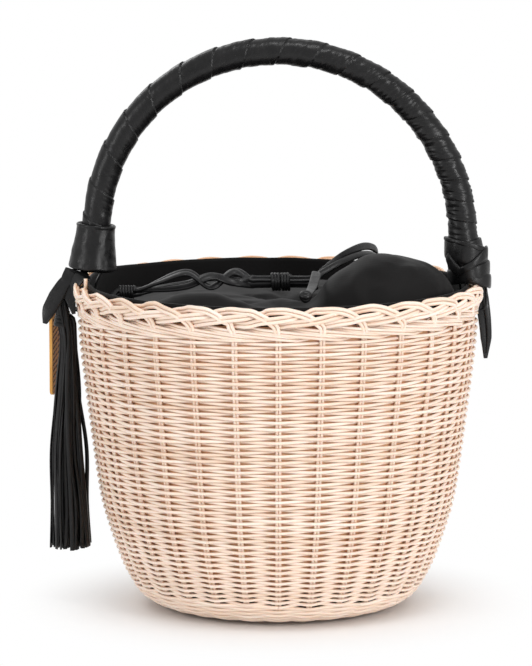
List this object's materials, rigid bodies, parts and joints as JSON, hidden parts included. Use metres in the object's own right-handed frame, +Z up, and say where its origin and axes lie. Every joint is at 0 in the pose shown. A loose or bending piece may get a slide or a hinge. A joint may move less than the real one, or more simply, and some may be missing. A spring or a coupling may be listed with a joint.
{
  "type": "bucket bag",
  "caption": "Round woven-reed bucket bag with a lined drawcord mouth, a leather-wrapped arched handle, a leather tassel and a hanging tag.",
  "frame": {"origin": "centre of the foot ring on the floor", "axes": "+Z up; +X towards the knotted handle foot, -X towards the tassel; -Y is the front"},
  "size_m": [0.3112, 0.28, 0.3926],
  "materials": {
    "reed": "satin",
    "cane": "matte",
    "board": "matte",
    "leather": "satin",
    "fabric": "matte",
    "padding": "matte",
    "tag": "satin"
  },
  "bodies": {
    "bag": {"side_stakes": "reed", "heel_weave": "reed", "side_weave": "reed", "top_wale": "reed", "rim_border": "reed", "base_weave": "reed", "base_sticks": "reed", "base_board": "board", "lining_base": "fabric", "lining_wall": "fabric", "lining_cover": "fabric", "drawcord_tails": "leather", "drawcord_loops": "leather", "lace_keeper": "leather", "left_rim_tie": "leather", "right_rim_tie": "leather", "tassel_ring": "leather", "tag_cord": "leather"},
    "handle": {"handle_core": "cane", "handle_padding": "padding", "handle_wrap": "leather", "left_cuff": "leather", "right_knot": "leather", "left_handle_eye": "leather", "right_handle_eye": "leather"},
    "tassel_link": {"tassel_loop": "leather"},
    "tassel": {"tassel_eye": "leather", "tassel_head": "leather", "tassel_fringe": "leather", "tassel_core": "leather"},
    "tag": {"tag_plate": "tag"},
    "flap": {"left_flap": "leather"},
    "tail": {"right_tail": "leather"},
    "slider": {"lace_slider": "leather"},
    "pull": {"pull_strip": "leather", "pull_knot": "leather"}
  },
  "joints": [
    {"name": "handle_swing", "type": "hinge", "parent": "bag", "child": "handle", "pos_m": [0, 0, 0.236], "axis": [1, 0, 0], "range_deg": [-30, 30]},
    {"name": "tassel_outward", "type": "hinge", "parent": "bag", "child": "tassel_link", "pos_m": [-0.1483, 0, 0.2175], "axis": [0, 1, 0], "range_deg": [0, 12]},
    {"name": "tassel_sway", "type": "hinge", "parent": "tassel_link", "child": "tassel", "pos_m": [-0.1483, 0, 0.2136], "axis": [1, 0, 0], "range_deg": [-30, 1]},
    {"name": "tag_swing", "type": "hinge", "parent": "bag", "child": "tag", "pos_m": [-0.1536, 0.024, 0.2096], "axis": [0.309, 0.9511, 0], "range_deg": [-4, 50]},
    {"name": "flap_lift", "type": "hinge", "parent": "bag", "child": "flap", "pos_m": [-0.15, -0.0025, 0.2296], "axis": [0, 1, 0], "range_deg": [0, 60]},
    {"name": "tail_lift", "type": "hinge", "parent": "bag", "child": "tail", "pos_m": [0.1468, 0, 0.222], "axis": [0, -1, 0], "range_deg": [0, 50]},
    {"name": "slider_slide", "type": "slide", "parent": "bag", "child": "slider", "axis": [1, 0, 0], "range_m": [-0.008, 0.01]},
    {"name": "pull_lift", "type": "hinge", "parent": "bag", "child": "pull", "pos_m": [0.026, -0.032, 0.233], "axis": [-1, 0, 0], "range_deg": [0, 70]}
  ]
}
